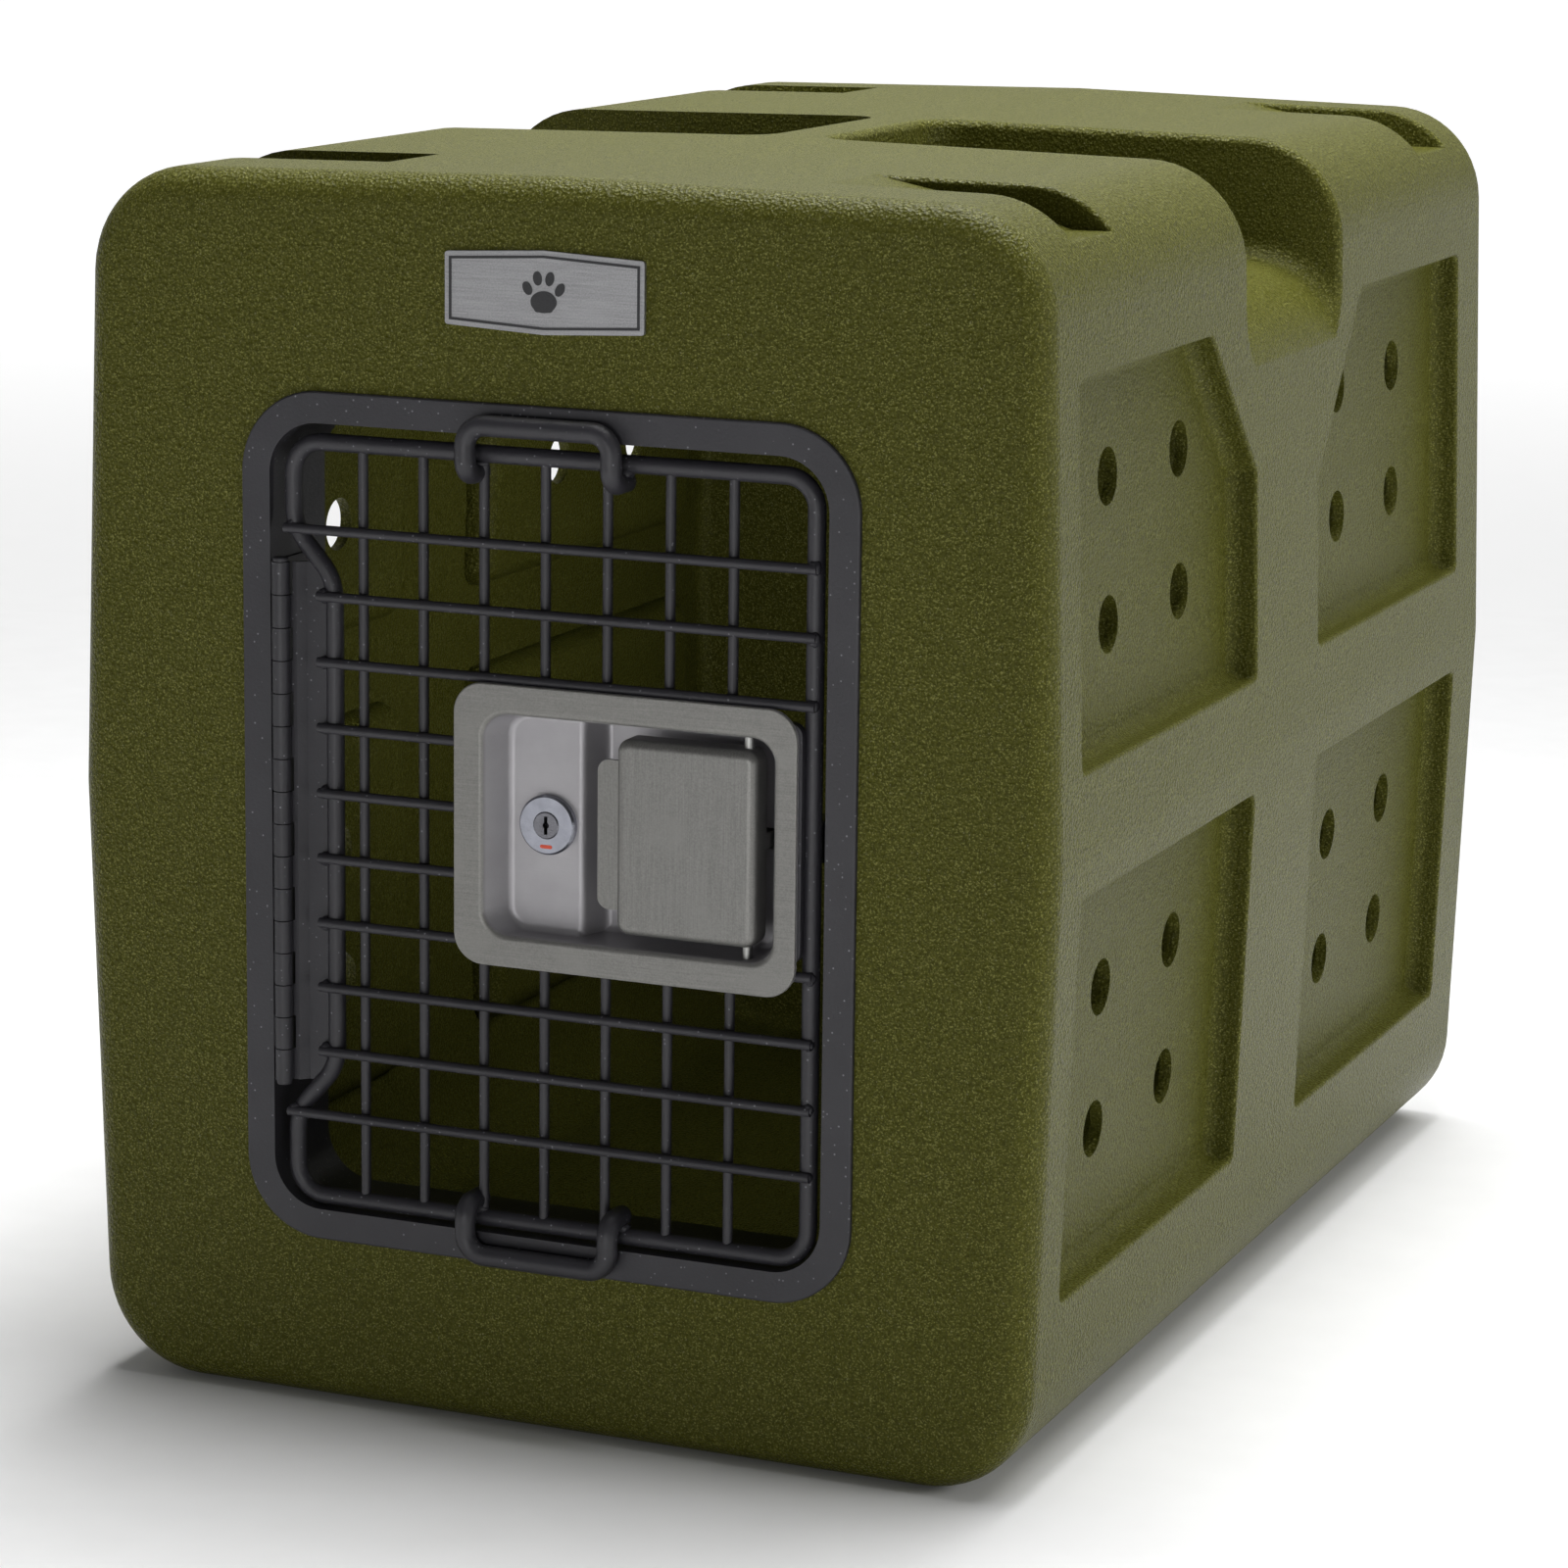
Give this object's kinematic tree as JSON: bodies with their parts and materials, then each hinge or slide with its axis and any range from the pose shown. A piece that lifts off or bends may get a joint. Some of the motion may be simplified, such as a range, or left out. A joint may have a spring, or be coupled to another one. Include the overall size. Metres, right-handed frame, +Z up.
{
  "type": "pet transport carrier",
  "caption": "Moulded plastic animal travel kennel with a framed wire door, slam latch, key lock and recessed carrying handles.",
  "frame": {"origin": "on the floor, under the middle of the whole object", "axes": "+X to the right seen from in front of the door, +Y from the door to the rear wall, +Z up"},
  "size_m": [0.404, 0.6044, 0.4815],
  "materials": {
    "olive_polyethylene": "rotomoulded polyethylene with a fine pebble grain",
    "black_powder_coat": "satin powder coat on steel",
    "stainless": "brushed satin stainless steel",
    "lock_chrome": "bright plated",
    "lock_paint": "red paint fill",
    "zinc_steel": "bright zinc plate",
    "badge_silver": "satin silver grey",
    "badge_ink": "satin black enamel"
  },
  "bodies": {
    "kennel": {"body_shell": "olive_polyethylene", "badge_plate": "badge_silver", "badge_border": "badge_ink", "badge_paw": "badge_ink", "door_frame": "black_powder_coat", "frame_studs": "zinc_steel", "clamp_ring": "black_powder_coat", "frame_nuts": "zinc_steel", "strike_plate": "black_powder_coat", "hinge_frame_leaf": "black_powder_coat", "hinge_pin": "black_powder_coat"},
    "door": {"bolt_guide": "zinc_steel", "bolt_spring": "zinc_steel", "door_rod": "black_powder_coat", "hinge_door_leaf": "black_powder_coat", "horizontal_wire_1": "black_powder_coat", "horizontal_wire_10": "black_powder_coat", "horizontal_wire_2": "black_powder_coat", "horizontal_wire_3": "black_powder_coat", "horizontal_wire_4": "black_powder_coat", "horizontal_wire_5": "black_powder_coat", "horizontal_wire_6": "black_powder_coat", "horizontal_wire_7": "black_powder_coat", "horizontal_wire_8": "black_powder_coat", "horizontal_wire_9": "black_powder_coat", "latch_nuts": "zinc_steel", "latch_pan": "stainless", "latch_plate": "black_powder_coat", "latch_studs": "zinc_steel", "lock_body": "lock_chrome", "lock_mark": "lock_paint", "lock_nut": "lock_chrome", "paddle_pin": "zinc_steel", "stop_bottom": "black_powder_coat", "stop_top": "black_powder_coat", "vertical_wire_1": "black_powder_coat", "vertical_wire_2": "black_powder_coat", "vertical_wire_3_lower": "black_powder_coat", "vertical_wire_3_upper": "black_powder_coat", "vertical_wire_4_lower": "black_powder_coat", "vertical_wire_4_upper": "black_powder_coat", "vertical_wire_5_lower": "black_powder_coat", "vertical_wire_5_upper": "black_powder_coat", "vertical_wire_6_lower": "black_powder_coat", "vertical_wire_6_upper": "black_powder_coat", "vertical_wire_7_lower": "black_powder_coat", "vertical_wire_7_upper": "black_powder_coat"},
    "paddle": {"paddle": "stainless"},
    "bolt": {"slam_bolt": "zinc_steel"},
    "key": {"key_plug": "lock_chrome", "lock_cam": "lock_chrome", "cam_screw": "lock_chrome"}
  },
  "joints": [
    {"name": "door_swing", "type": "hinge", "parent": "kennel", "child": "door", "pos_m": [-0.1102, -0.29325, 0.2302], "axis": [0, 0, -1], "range_deg": [0, 165]},
    {"name": "paddle_pull", "type": "hinge", "parent": "door", "child": "paddle", "pos_m": [0.082, -0.28875, 0.2387], "axis": [0, 0, 1], "range_deg": [0, 30], "stiffness_Nm_per_rad": 0.35, "springref_deg": -20.05},
    {"name": "bolt_slide", "type": "slide", "parent": "door", "child": "bolt", "axis": [-1, 0, 0], "range_m": [0, 0.0121], "deforming": ["bolt_spring"]},
    {"name": "key_turn", "type": "hinge", "parent": "door", "child": "key", "pos_m": [-0.0016, -0.2628, 0.2383], "axis": [0, -1, 0], "range_deg": [0, 90]}
  ],
  "couplings": [
    {"joint": "bolt_slide", "follows": "paddle_pull", "m_per_rad": 0.022918}
  ]
}
